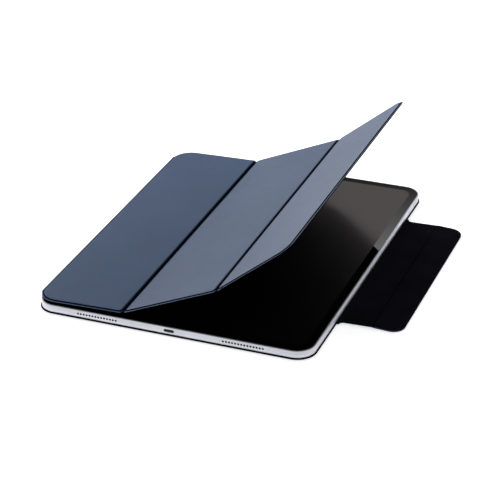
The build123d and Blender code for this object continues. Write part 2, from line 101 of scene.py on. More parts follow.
# ---- Sizes of the looks alone ---------------------------------------------------------------
EDGE_ROUND = 0.14 * MM
LAYER_ROUND = 0.12 * MM
ARC_STEPS = 10
SIDE_STEPS = 14
ROUND_STEPS = 4
STRIP_STEPS = 16
STRIP_END_LAP = 0.5 * MM
FOLD_DIP = 0.10 * MM  # how far a fold's leather is pressed in along its middle
CREASE_DIP = 0.12 * MM  # the same for the lining at the flap's crease
BOARD_SHOW = 0.05 * MM  # how far the lining is pressed up under a board
CUT_REACH = 10 * MM
WELD_DISTANCE = 0.2e-6
SMOOTH_ANGLE = math.radians(42)
HEADING_ROUNDS = 30  # rounds in which free_end settles

# A raised field from its flange inwards: (inset, height over the flange, rubbing and painted shade),
# lengths in millimetres. The value is 1 where the leather is rubbed, and along the crest that is
# partly a painted highlight; it is -1 where shade is painted: in the dip at the field's foot,
# in creases, on edge walls and along folds.
FIELD_PROFILE = (
    (-0.62, 0.0, 0.0),
    (-0.45, -0.03, -0.7),
    (-0.28, -0.06, -1.0),
    (0.00, -0.05, -1.0),
    (0.12, 0.08, -1.0),
    (0.36, 0.46, -0.95),
    (0.47, 0.635, -0.5),
    (0.57, 0.735, 0.4),
    (0.72, 0.785, 0.8),
    (0.96, 0.80, 0.3),
    (1.60, 0.80, 0.0),
    (2.00, 0.80, 0.0),
)
PROFILE_RISE = 0.80
# The lining over the edge of its board: (inset, share of BOARD_SHOW pressed in, rubbing and painted shade). Its
# negative values paint shade along the board's step.
LINING_PROFILE = (
    (-0.1, 0.0, -0.6),
    (0.2, 0.3, -0.3),
    (0.6, 1.0, 0.4),
    (1.4, 1.0, 0.0),
)
EDGE_WEAR = 0.10
# Painted shade on the walls of turned edges.
WALL_SHADE = -1.0
# Painted shade along the folds and on the fields beside them.
FOLD_SHADE = -1.0
FOLD_SHADE_REACH = 1.9  # millimetres inwards from a field's edge
# Painted shade at a strip's edges and along its middle.
STRIP_SHADE = (0.0, -0.3)  # at a strip's edges and along its middle
# Painted shade along the middle of a lining strip at a fold or crease.
LINING_STRIP_SHADE = (0.0, -0.8)

# ---- Sizes and values in the materials, lengths in millimetres ------------------------------
# The metal goes dark within the holes as painted shade.
HOLE_DEPTH = 0.15  # how far in the wall's metal goes dark
HOLE_MARGIN = 18.0  # how much of an end wall is left out at each corner
HOLE_HALF_HEIGHT = 1.6
DISPLAY_CORNER = 8.0
BEZEL_ROUGHNESS = 0.02
DISPLAY_ROUGHNESS = 0.23
BEZEL_TINT = (0.96, 1.0, 0.95)
DISPLAY_TINT = (1.0, 0.74, 0.73)
GLASS_IOR = 1.5
FACET_DROP = 0.6  # how far below the wall's middle its crown begins
FACET_SLOPE = 0.50

# ---- Studio ---------------------------------------------------------------------------------
FLOOR_SIZE = 12.0
FLOOR_GLOW = 0.60
SENSOR_WIDTH = 36.0
LENS = 135.78
AZIMUTH, ELEVATION, ROLL = math.radians(21.25), math.radians(28.0), math.radians(0.47)
CAMERA_FROM_GLASS = Vector((0.4800, -1.2118, 0.6861))
# Brightness by height over the horizon: in front of the object, behind it to the left, behind it.
FRONT_SKY = ((0.0, 1.10), (0.25, 1.05), (0.60, 0.60), (1.0, 0.34))
LEFT_SKY = ((0.0, 1.25), (0.20, 1.10), (0.34, 0.30), (0.60, 0.16), (1.0, 0.34))
BACK_SKY = (
    (0.0, 1.20),
    (0.20, 1.05),
    (0.34, 0.35),
    (0.438, 0.12),
    (0.478, 1.60),
    (0.54, 1.40),
    (0.61, 0.40),
    (1.0, 0.34),
)
SKY_BLUE = 1.01
# Where one sky goes over to the next, as a part of a direction along X and along Y.
LEFT_TO_BACK = (-0.52, -0.30)
FRONT_TO_BEHIND = (-0.10, 0.35)


# ---- Frames of the panels -------------------------------------------------------------------
class Section:
    """Cross-section of a panel: u leads away from its axis, h is height over the axis line."""

    def __init__(self, axis, angle):
        self.x, self.z, self.angle = axis.x, axis.z, angle

    def point(self, u, v, h, turn=0.0):
        c, s = math.cos(self.angle + turn), math.sin(self.angle + turn)
        return Vector((self.x + u * c - h * s, v, self.z + u * s + h * c))


def heading(a, b):
    return math.atan2(b.z - a.z, b.x - a.x)


def free_end(axis, node, low, high, rising):
    """Heading and reach of a sheet from its axis; low and high are its faces' heights."""
    lo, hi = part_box(node)
    across = hi.x - axis.x
    up = (hi.z if rising else lo.z) - axis.z
    side, top = (low, high) if rising else (high, low)
    angle = 0.0
    for _ in range(HEADING_ROUNDS):
        x = across + side * math.sin(angle)
        z = up - top * math.cos(angle)
        angle = math.atan2(z, x)
    return angle, math.hypot(x, z)


hinge = {j["name"]: Vector(j["pos_m"]) for j in frame["joints"] if j["type"] == "hinge"}
spine_axis, cover_axis = hinge["spine_hinge"], hinge["cover_hinge"]
fold_1_axis, fold_2_axis = hinge["fold_1_hinge"], hinge["fold_2_hinge"]
root_axis, bend_axis, tip_axis = (
    hinge["flap_root_hinge"],
    hinge["flap_bend_hinge"],
    hinge["flap_tip_hinge"],
)
back_centre = Vector((0.0, 0.0, spine_axis.z))
panel_3_angle, panel_3_reach = free_end(
    fold_2_axis, "cover_lining_3", -HALF_FLANGE, SPLIT, rising=True
)
half_flap_board = FLAP_BOARD / 2
tip_angle, tip_reach = free_end(
    tip_axis, "flap_lining_outer", half_flap_board, half_flap_board + FLAP_LAYER, rising=False
)
back_section = Section(back_centre, math.pi)
spine_section = Section(spine_axis, heading(spine_axis, cover_axis))
panel_1_section = Section(cover_axis, heading(cover_axis, fold_1_axis))
panel_2_section = Section(fold_1_axis, heading(fold_1_axis, fold_2_axis))
panel_3_section = Section(fold_2_axis, panel_3_angle)
flap_inner_section = Section(root_axis, heading(root_axis, bend_axis))
flap_middle_section = Section(bend_axis, heading(bend_axis, tip_axis))
flap_outer_section = Section(tip_axis, tip_angle)


# ---- Outlines -------------------------------------------------------------------------------
def rounded(near, far, low, high, near_radius, far_radius, free_near, free_far):
    """Outline of a rounded rectangle as (u, v, freedom); freedom is 0 where a hinge follows."""
    corners = (
        (far - far_radius, low + far_radius, far_radius, -90, 1.0, free_far),
        (far - far_radius, high - far_radius, far_radius, 0, free_far, 1.0),
        (near + near_radius, high - near_radius, near_radius, 90, 1.0, free_near),
        (near + near_radius, low + near_radius, near_radius, 180, free_near, 1.0),
    )
    outline = []
    for i, (u, v, radius, start, first, last) in enumerate(corners):
        for k in range(ARC_STEPS + 1):
            share = k / ARC_STEPS
            angle = math.radians(start + 90 * share)
            outline.append(
                (
                    u + radius * math.cos(angle),
                    v + radius * math.sin(angle),
                    first + (last - first) * share,
                )
            )
        u_next, v_next, r_next, start_next, first_next, _ = corners[(i + 1) % 4]
        begin = outline[-1]
        turn = math.radians(start_next)
        end = (u_next + r_next * math.cos(turn), v_next + r_next * math.sin(turn), first_next)
        for k in range(1, SIDE_STEPS):
            share = k / SIDE_STEPS
            outline.append(tuple(a + (b - a) * share for a, b in zip(begin, end)))
    return outline


class Sheet:
    """A rounded rectangle whose outline can be drawn at any inset."""

    def __init__(self, near, far, low, high, near_radius, far_radius, free_near, free_far):
        self.sides = (near, far, low, high)
        self.radii = (near_radius, far_radius)
        self.freedom = (free_near, free_far)

    def outline(self, inset=0.0):
        near, far, low, high = self.sides
        radii = [max(0.0, r - inset) for r in self.radii]
        return rounded(
            near + inset, far - inset, low + inset, high - inset, *radii, *self.freedom
        )


class FlaredSheet(Sheet):
    """The flap's root section: its near side is wider, with concave corners down to the rest."""

    def outline(self, inset=0.0):
        near, far, low, high = self.sides
        flare = FLAP_FLARE
        outline = []
        for k in range(SIDE_STEPS + 1):
            share = k / SIDE_STEPS
            outline.append((far, low + inset + (high - low - 2 * inset) * share, 0.0))
        for k in range(ARC_STEPS + 1):
            angle = math.radians(90 * k / ARC_STEPS)
            u = near + flare * (1 - math.sin(angle))
            v = high - inset + flare * (1 - math.cos(angle))
            outline.append((u, v, 1.0 if k < ARC_STEPS else 0.0))
        for k in range(1, SIDE_STEPS):
            share = k / SIDE_STEPS
            wide = high - low - 2 * inset + 2 * flare
            outline.append((near, high - inset + flare - wide * share, 0.0))
        for k in range(ARC_STEPS + 1):
            angle = math.radians(90 - 90 * k / ARC_STEPS)
            u = near + flare * (1 - math.sin(angle))
            v = low + inset - flare * (1 - math.cos(angle))
            outline.append((u, v, 1.0 if k > 0 else 0.0))
        return outline


# ---- Meshes ---------------------------------------------------------------------------------
def finished_object(name, points, faces, wear_and_shade, slot):
    """Object from points in the row frame, with its rest place and its rubbing and painted shade kept as
    attributes.
    """
    bm = bmesh.new()
    place = bm.verts.layers.float_vector.new("rest_place")
    marked = bm.verts.layers.float.new("wear_and_shade")
    for point, value in zip(points, wear_and_shade):
        vert = bm.verts.new(point)
        vert[place] = point
        vert[marked] = value
    bm.verts.ensure_lookup_table()
    for face in faces:
        bm.faces.new([bm.verts[i] for i in face])
    bmesh.ops.remove_doubles(bm, verts=bm.verts, dist=WELD_DISTANCE)
    bmesh.ops.dissolve_degenerate(bm, edges=bm.edges, dist=WELD_DISTANCE)
    bmesh.ops.recalc_face_normals(bm, faces=bm.faces)
    mesh = bpy.data.meshes.new(name)
    bm.to_mesh(mesh)
    bm.free()
    mesh.polygons.foreach_set("use_smooth", [True] * len(mesh.polygons))
    mesh.set_sharp_from_angle(angle=SMOOTH_ANGLE)
    mesh.materials.append(materials[slot])
    obj = bpy.data.objects.new(name, mesh)
    bpy.context.scene.collection.objects.link(obj)
    return obj


def tube_faces(loops, count):
    """Faces of a closed solid through a number of loops, each of count points."""
    faces = []
    for r in range(loops - 1):
        for i in range(count):
            j = (i + 1) % count
            a, b = r * count, (r + 1) * count
            faces.append((a + i, a + j, b + j, b + i))
    faces.append(tuple(reversed(range(count))))
    faces.append(tuple(range((loops - 1) * count, loops * count)))
    return faces


def stacked(name, section, rings, slot):
    """Closed solid through rings of ((u, v, h) points, rubbing and painted shade), capped at both ends."""
    points, wear_and_shade = [], []
    for ring, value in rings:
        points += [section.point(u, v, h) for u, v, h in ring]
        wear_and_shade += value if isinstance(value, list) else [value] * len(ring)
    faces = tube_faces(len(rings), len(rings[0][0]))
    return finished_object(name, points, faces, wear_and_shade, slot)


def flat(outline, h):
    return [(u, v, h) for u, v, _ in outline]


def shaded(outline, wear_and_shade, fold_shade, open_near=False):
    """Rubbing and painted shade round an outline, going over to the fold's painted shade where a fold follows."""
    middle = sum(u for u, _, _ in outline) / len(outline)
    clear = [1.0 if open_near and u < middle else freedom for u, _, freedom in outline]
    return [fold_shade + (wear_and_shade - fold_shade) * share for share in clear]


def turned_edge(sheet, h, radius, outward, fold_shade=EDGE_WEAR, open_near=False):
    """Rings that round a sheet's free edge from its wall to its face; outward is 1 up, -1 down."""
    rings = []
    for k in range(ROUND_STEPS + 1):
        angle = math.radians(90 * k / ROUND_STEPS)
        pulled = sheet.outline(radius * (1 - math.cos(angle)))
        drop = outward * radius * (1 - math.sin(angle))
        ring = []
        for (u, v, freedom), (pu, pv, _) in zip(sheet.outline(), pulled):
            ring.append((u + (pu - u) * freedom, v + (pv - v) * freedom, h - drop * freedom))
        # Painted shade on the wall, going over to the edge's rubbing on its rounded face.
        wear_and_shade = WALL_SHADE + (EDGE_WEAR - WALL_SHADE) * (k / ROUND_STEPS) ** 2
        rings.append((ring, shaded(pulled, wear_and_shade, fold_shade, open_near)))
    return rings


def panel_skin(name, section, edge, field, board, fold_shade, open_near):
    """Leather skin: a pocket for the board below, a turned edge, a flange and a raised field.

    fold_shade is the shade painted on the sides that a hinge follows, except the near one if it is open.
    """
    pocket = field.outline(POCKET_INSET)
    rings = [(flat(pocket, SPLIT + board), 0.0), (flat(pocket, SPLIT), 0.0)]
    rings.append((flat(edge.outline(), SPLIT), WALL_SHADE))
    rings += turned_edge(edge, HALF_FLANGE, EDGE_ROUND, 1, fold_shade, open_near)
    stretch = board / MM / PROFILE_RISE
    for inset, rise, wear_and_shade in FIELD_PROFILE:
        height = HALF_FLANGE + rise * MM * (stretch if rise > 0 else 1.0)
        outline = field.outline(inset * MM)
        shade = fold_shade * max(0.0, 1 - max(0.0, inset) / FOLD_SHADE_REACH)
        rings.append((flat(outline, height), shaded(outline, wear_and_shade, shade, open_near)))
    return stacked(name, section, rings, "cover_leather")


def panel_lining(name, section, edge, field):
    """Microfibre lining, pressed up round the board so that the board shows faintly."""
    low = -HALF_FLANGE
    rings = [(flat(edge.outline(), SPLIT), 0.0)]
    rings += turned_edge(edge, low, LAYER_ROUND, -1)
    for inset, pressed, wear_and_shade in LINING_PROFILE:
        rings.append((flat(field.outline(inset * MM), low - pressed * BOARD_SHOW), wear_and_shade))
    return stacked(name, section, rings, "lining_microfibre")


def soft_layer(name, section, sheet, low, high, outward, slot):
    """One layer of the flap, rounded on its outer side."""
    base, face = (low, high) if outward > 0 else (high, low)
    rings = [(flat(sheet.outline(), base), 0.0)]
    rings += turned_edge(sheet, face, LAYER_ROUND, outward)
    rings.append((flat(sheet.outline(3 * LAYER_ROUND), face), 0.0))
    return stacked(name, section, rings, slot)


def strip(name, axis, angles, setback, before, after, ends, slot, dip, marked):
    """Flexible strip across a hinge, bent at rest from the first angle to the second.

    before and after are the (low, high) faces at its two edges, ends its ends along Y, dip how
    far its middle is pressed in, and the last argument the painted shade at its edges and along its middle.
    """
    section = Section(axis, angles[0])
    bend = (angles[1] - angles[0] + math.pi) % (2 * math.pi) - math.pi
    low_end, high_end = ends
    points, wear_and_shade = [], []
    for k in range(STRIP_STEPS + 1):
        share = k / STRIP_STEPS
        smooth = share * share * (3 - 2 * share)
        u = setback * (2 * share - 1)
        sag = dip * math.sin(math.pi * share) ** 2
        low = before[0] + (after[0] - before[0]) * smooth
        high = before[1] + (after[1] - before[1]) * smooth - sag
        soft = min(LAYER_ROUND, (high - low) / 3)
        loop = (
            (low_end, low + soft),
            (low_end, high - soft),
            (low_end + soft, high),
            (high_end - soft, high),
            (high_end, high - soft),
            (high_end, low + soft),
            (high_end - soft, low),
            (low_end + soft, low),
        )
        points += [section.point(u, v, h, bend * smooth) for v, h in loop]
        wear_and_shade += [marked[0] + (marked[1] - marked[0]) * math.sin(math.pi * share)] * len(loop)
    faces = tube_faces(STRIP_STEPS + 1, len(loop))
    return finished_object(name, points, faces, wear_and_shade, slot)


def cut_through(obj, centre, size, corner, slot):
    """Cuts a rounded opening right through a finished piece, along Z."""
    sheet = Sheet(
        centre.x - size.x / 2,
        centre.x + size.x / 2,
        centre.y - size.y / 2,
        centre.y + size.y / 2,
        corner,
        corner,
        1.0,
        1.0,
    )
    level = Section(Vector((0.0, 0.0, centre.z)), 0.0)
    rings = [(flat(sheet.outline(), h), 0.0) for h in (-CUT_REACH, CUT_REACH)]
    cutter = stacked("cutter", level, rings, slot)
    cut = obj.modifiers.new("opening", "BOOLEAN")
    cut.object = cutter
    cut.solver = "EXACT"
    bpy.context.view_layer.update()
    evaluated = obj.evaluated_get(bpy.context.evaluated_depsgraph_get())
    mesh = bpy.data.meshes.new_from_object(evaluated)
    obj.modifiers.clear()
    obj.data = mesh
    bpy.data.objects.remove(cutter)


# ---- Materials ------------------------------------------------------------------------------
# Patterns lie in millimetres, so a scale is in repeats per millimetre.
NOISE_RANGE = (0.3, 0.7)


class Graph:
    """A material's node tree, built from inputs to outputs."""

    def __init__(self, name):
        self.material = bpy.data.materials.new(name)
        self.material.use_nodes = True
        self.tree = self.material.node_tree
        self.tree.nodes.clear()

    def add(self, kind, sockets=None, **settings):
        node = self.tree.nodes.new(kind)
        for key, value in settings.items():
            setattr(node, key, value)
        for key, value in (sockets or {}).items():
            if isinstance(value, bpy.types.NodeSocket):
                self.tree.links.new(value, node.inputs[key])
            else:
                node.inputs[key].default_value = value
        return node

    def rest_place(self):
        """Rest coordinates in millimetres, kept by the pieces made here."""
        found = self.add("ShaderNodeAttribute", attribute_name="rest_place")
        return self.scaled(found.outputs["Vector"], 1 / MM)

    def wear_and_shade(self):
        """How far a place is rubbed, with a painted highlight along crests (towards 1), or painted in shade
        (towards -1).
        """
        return self.add("ShaderNodeAttribute", attribute_name="wear_and_shade").outputs["Fac"]

    def object_place(self):
        """Object coordinates in millimetres, for the frame's own nodes."""
        found = self.add("ShaderNodeTexCoord")
        return self.scaled(found.outputs["Object"], 1 / MM)

    def scaled(self, vector, *scale):
        scale = scale * 3 if len(scale) == 1 else scale
        return self.add("ShaderNodeMapping", {"Vector": vector, "Scale": scale}).outputs["Vector"]

    def noise(self, vector, scale, detail, roughness):
        node = self.add(
            "ShaderNodeTexNoise",
            {"Vector": vector, "Scale": scale, "Detail": detail, "Roughness": roughness},
        )
        return node.outputs["Fac"]

    def cloud(self, vector, scale, detail, roughness, low=0.0, high=1.0):
        """Noise with its usual range stretched from low to high."""
        return self.mapped(self.noise(vector, scale, detail, roughness), *NOISE_RANGE, low, high)

    def mapped(self, value, low, high, to_low, to_high):
        node = self.add(
            "ShaderNodeMapRange",
            {
                "Value": value,
                "From Min": low,
                "From Max": high,
                "To Min": to_low,
                "To Max": to_high,
            },
        )
        return node.outputs["Result"]

    def math(self, operation, a, b=0.0):
        node = self.add("ShaderNodeMath", {0: a, 1: b}, operation=operation)
        return node.outputs["Value"]

    def vector(self, operation, a, b=(0.0, 0.0, 0.0)):
        node = self.add("ShaderNodeVectorMath", {0: a, 1: b}, operation=operation)
        return node.outputs["Value" if operation == "LENGTH" else "Vector"]

    def mixed(self, factor, a, b):
        sockets = {"Factor_Float": factor, "A_Color": a, "B_Color": b}
        node = self.add("ShaderNodeMix", data_type="RGBA")
        for socket in node.inputs:
            value = sockets.get(socket.identifier)
            if isinstance(value, bpy.types.NodeSocket):
                self.tree.links.new(value, socket)
            elif value is not None:
                socket.default_value = value
        return next(out for out in node.outputs if out.identifier == "Result_Color")

    def bump(self, height, distance, strength, normal=None):
        sockets = {"Height": height, "Distance": distance * MM, "Strength": strength}
        if normal is not None:
            sockets["Normal"] = normal
        return self.add("ShaderNodeBump", sockets).outputs["Normal"]

    def surface(self, sockets):
        shader = self.add("ShaderNodeBsdfPrincipled", sockets)
        self.add("ShaderNodeOutputMaterial", {"Surface": shader.outputs["BSDF"]})
        return self.material


def rgb(red, green, blue):
    return (red, green, blue, 1.0)


def grey(level, blue=None):
    """A grey colour, with its blue part set apart if it is given."""
    return (level, level, level if blue is None else blue)


def leather(name, deep, pale, shade_colour, marked):
    """Soft-touch synthetic leather: pebbled grain, uneven dye, rubbed edges with a painted highlight on crests,
    and painted shade in creases.
    """
    g = Graph(name)
    place = g.rest_place()
    wander = g.add("ShaderNodeTexNoise", {"Vector": place, "Scale": 0.9, "Detail": 1.0})
    pebble = g.add(
        "ShaderNodeTexVoronoi",
        {
            "Vector": g.vector("ADD", place, g.scaled(wander.outputs["Color"], 0.6)),
            "Scale": 1.35,
            "Smoothness": 0.6,
        },
        feature="SMOOTH_F1",
    ).outputs["Distance"]
    pores = g.noise(place, scale=5.0, detail=3.0, roughness=0.6)
    grain = g.math("ADD", g.math("MULTIPLY", pebble, -0.9), g.math("MULTIPLY", pores, 0.35))

    blotch = g.cloud(place, scale=0.022, detail=3.0, roughness=0.55)
    mottle = g.cloud(place, scale=0.45, detail=4.0, roughness=0.6, low=-0.12, high=0.12)
    dye = g.math("ADD", g.math("MULTIPLY", blotch, 0.6), g.math("ADD", mottle, 0.2))
    wear_and_shade = g.wear_and_shade()
    # Painted shade: below 0 the attribute takes the dye over to the near-black shade colour and takes away its
    # gloss and sheen.
    painted_shade = g.mapped(wear_and_shade, 0.0, -1.0, 0.0, 1.0)
    scuff = g.noise(place, scale=0.8, detail=3.0, roughness=0.6)
    # Above 0 the colour goes over to the lighter rubbed colour through scuffs; along the field's crest this is
    # partly a painted highlight.
    rub_and_highlight = g.math("MULTIPLY", g.mapped(wear_and_shade, 0.0, 1.0, 0.0, 0.6), scuff)
    dyed = g.mixed(dye, rgb(*deep), rgb(*pale))
    dye_with_shade = g.mixed(painted_shade, dyed, rgb(*shade_colour))

    satin = g.cloud(place, scale=0.12, detail=3.0, roughness=0.6, low=0.43, high=0.46)
    return g.surface(
        {
            "Base Color": g.mixed(rub_and_highlight, dye_with_shade, rgb(*marked)),
            "Roughness": g.math("ADD", satin, g.mapped(wear_and_shade, -1.0, 1.0, 0.30, -0.06)),
            "Specular IOR Level": g.mapped(wear_and_shade, -1.0, 0.0, 0.0, 0.36),
            "Sheen Weight": g.mapped(wear_and_shade, -1.0, 0.0, 0.0, 0.12),
            "Sheen Roughness": 0.45,
            "Sheen Tint": rgb(0.70, 0.80, 1.0),
            "Normal": g.bump(grain, distance=0.014, strength=0.35),
        }
    )


def microfibre(name, deep, pale, shade_colour, sheen):
    """Brushed microfibre: short nap lying one way, with patches stroked the other way."""
    g = Graph(name)
    place = g.rest_place()
    stroked = g.noise(place, scale=0.035, detail=4.0, roughness=0.65)
    patches = g.mapped(stroked, 0.35, 0.68, 0.0, 1.0)
    nap = g.noise(g.scaled(place, 3.2, 0.7, 3.2), scale=1.6, detail=4.0, roughness=0.7)
    fuzz = g.noise(place, scale=7.0, detail=3.0, roughness=0.7)
    shade = g.math("ADD", g.math("MULTIPLY", patches, 0.55), g.math("MULTIPLY", nap, 0.45))
    height = g.math("ADD", g.math("MULTIPLY", nap, 0.7), g.math("MULTIPLY", fuzz, 0.5))
    # Painted shade: below 0 the attribute takes the nap over to the shade colour, without sheen or gloss.
    unshaded_share = g.mapped(g.wear_and_shade(), 0.0, -1.0, 1.0, 0.08)
    napped = g.mixed(shade, rgb(*deep), rgb(*pale))
    glow = g.mapped(patches, 0.0, 1.0, sheen * 0.4, sheen)
    return g.surface(
        {
            "Base Color": g.mixed(unshaded_share, rgb(*shade_colour), napped),
            "Roughness": g.mapped(nap, 0.2, 0.8, 0.86, 0.98),
            "Specular IOR Level": g.math("MULTIPLY", unshaded_share, 0.03),
            "Sheen Weight": g.math("MULTIPLY", unshaded_share, glow),
            "Sheen Roughness": 0.55,
            "Sheen Tint": rgb(0.75, 0.70, 1.0),
            "Normal": g.bump(height, distance=0.06, strength=0.6),
        }
    )


def blasted(g, place, deep, pale, rough):
    """Colour, roughness and grain of bead-blasted metal with faint handling marks."""
    colour = g.mixed(
        g.cloud(place, scale=0.05, detail=3.0, roughness=0.6), rgb(*deep), rgb(*pale)
    )
    beads = g.noise(place, scale=9.0, detail=2.0, roughness=0.6)
    touched = g.noise(place, scale=0.35, detail=5.0, roughness=0.65)
    handled = g.mapped(touched, 0.55, 0.75, 0.0, 0.06)
    satin = g.math("ADD", handled, g.mapped(beads, *NOISE_RANGE, rough, rough + 0.05))
    return colour, satin, beads


def blasted_metal(name, deep, pale, rough):
    g = Graph(name)
    colour, satin, beads = blasted(g, g.object_place(), deep, pale, rough)
    return g.surface(
        {
            "Base Color": colour,
            "Metallic": 1.0,
            "Roughness": satin,
            "Normal": g.bump(beads, distance=0.008, strength=0.35),
        }
    )


def moulded(name, deep, pale, rough):
    """Moulded plastic or film with a fine texture."""
    g = Graph(name)
    place = g.object_place()
    cloud = g.cloud(place, scale=0.12, detail=4.0, roughness=0.6)
    texture = g.noise(place, scale=4.0, detail=3.0, roughness=0.6)
    return g.surface(
        {
            "Base Color": g.mixed(cloud, rgb(*deep), rgb(*pale)),
            "Roughness": g.mapped(texture, *NOISE_RANGE, rough - 0.05, rough + 0.05),
            "Normal": g.bump(texture, distance=0.012, strength=0.4),
        }
    )


def woven(name, deep, pale, pitch, metallic, rough):
    """A fine crossed weave, for the speaker mesh, the stiffener boards and the circuit board."""
    g = Graph(name)
    place = g.object_place()
    waves = [
        g.add(
            "ShaderNodeTexWave",
            {"Vector": place, "Scale": 1.0 / pitch, "Distortion": 0.3},
            bands_direction=direction,
        ).outputs["Fac"]
        for direction in ("X", "Y", "Z")
    ]
    weave = g.math("MULTIPLY", g.math("ADD", waves[0], waves[1]), g.math("ADD", waves[2], 0.4))
    return g.surface(
        {
            "Base Color": g.mixed(g.mapped(weave, 0.0, 2.0, 0.0, 1.0), rgb(*deep), rgb(*pale)),
            "Metallic": metallic,
            "Roughness": rough,
            "Normal": g.bump(weave, distance=0.02, strength=0.5),
        }
    )


def housing_metal(name, deep, pale, rough, hole_shade):
    """Satin anodised metal with painted shade within the holes of its end walls, and a crown high on the walls."""
    g = Graph(name)
    place = g.object_place()
    low, high = (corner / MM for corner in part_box("tablet_housing"))
    mesh_low, mesh_high = (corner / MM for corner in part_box("speaker_meshes"))
    across, along, up = g.add("ShaderNodeSeparateXYZ", {"Vector": place}).outputs
    level = g.math("ABSOLUTE", g.math("SUBTRACT", up, (mesh_low.z + mesh_high.z) / 2))
    # Painted shade: the metal within the speaker holes is painted near black, without metal or gloss.
    painted_hole_shade = g.math(
        "MULTIPLY",
        g.math("LESS_THAN", g.math("ABSOLUTE", along), high.y - HOLE_DEPTH),
        g.math("LESS_THAN", g.math("ABSOLUTE", across), high.x - HOLE_MARGIN),
    )
    painted_hole_shade = g.math("MULTIPLY", painted_hole_shade, g.math("LESS_THAN", level, HOLE_HALF_HEIGHT))
    facet_start = (low.z + high.z) / 2 - FACET_DROP
    over_facet = g.math("MAXIMUM", g.math("SUBTRACT", up, facet_start))
    crown = g.bump(g.math("MULTIPLY", over_facet, -FACET_SLOPE), distance=1.0, strength=1.0)
    colour, satin, beads = blasted(g, place, deep, pale, rough)
    return g.surface(
        {
            "Base Color": g.mixed(painted_hole_shade, colour, rgb(*hole_shade)),
            "Metallic": g.mapped(painted_hole_shade, 0.0, 1.0, 0.85, 0.0),
            "Specular IOR Level": g.mapped(painted_hole_shade, 0.0, 1.0, 0.5, 0.02),
            "Roughness": g.math("MAXIMUM", satin, g.math("MULTIPLY", painted_hole_shade, 0.9)),
            "Normal": g.bump(beads, distance=0.008, strength=0.35, normal=crown),
        }
    )


def glass_marks(g, place, deep, pale, smudge):
    """Colour of black-backed glass, and the roughness that faint finger marks add."""
    marks = g.noise(place, scale=0.05, detail=5.0, roughness=0.62)
    tint = g.cloud(place, scale=0.01, detail=2.0, roughness=0.5)
    colour = g.mixed(tint, rgb(*deep), rgb(*pale))
    return colour, g.mapped(marks, 0.48, 0.75, 0.0, smudge)


def cover_glass(name, deep, pale, smudge):
    """Black front glass: a polished bezel round a display that reflects softly."""
    g = Graph(name)
    place = g.object_place()
    low, high = (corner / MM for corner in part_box("tablet_display"))
    half = (high - low) / 2 - Vector((DISPLAY_CORNER, DISPLAY_CORNER, 0.0))
    from_middle = g.scaled(g.vector("SUBTRACT", place, tuple((low + high) / 2)), 1.0, 1.0, 0.0)
    beyond = g.vector("SUBTRACT", g.vector("ABSOLUTE", from_middle), (half.x, half.y, 0.0))
    reach = g.vector("LENGTH", g.vector("MAXIMUM", beyond))
    shown = g.math("LESS_THAN", reach, DISPLAY_CORNER)
    colour, marks = glass_marks(g, place, deep, pale, smudge)
    gloss = g.mapped(shown, 0.0, 1.0, BEZEL_ROUGHNESS, DISPLAY_ROUGHNESS)
    return g.surface(
        {
            "Base Color": colour,
            "Roughness": g.math("ADD", gloss, marks),
            "Specular Tint": g.mixed(shown, rgb(*BEZEL_TINT), rgb(*DISPLAY_TINT)),
            "IOR": GLASS_IOR,
        }
    )


def black_glass(name, deep, pale, smudge):
    """Polished black-backed glass with a thin clear coat, for the lenses and the display."""
    g = Graph(name)
    place = g.object_place()
    colour, marks = glass_marks(g, place, deep, pale, smudge)
    waviness = g.noise(place, scale=0.02, detail=1.0, roughness=0.5)
    return g.surface(
        {
            "Base Color": colour,
            "Roughness": g.math("ADD", marks, 0.025),
            "IOR": GLASS_IOR,
            "Coat Weight": 0.2,
            "Coat Roughness": 0.02,
            "Normal": g.bump(waviness, distance=0.02, strength=0.05),
        }
    )


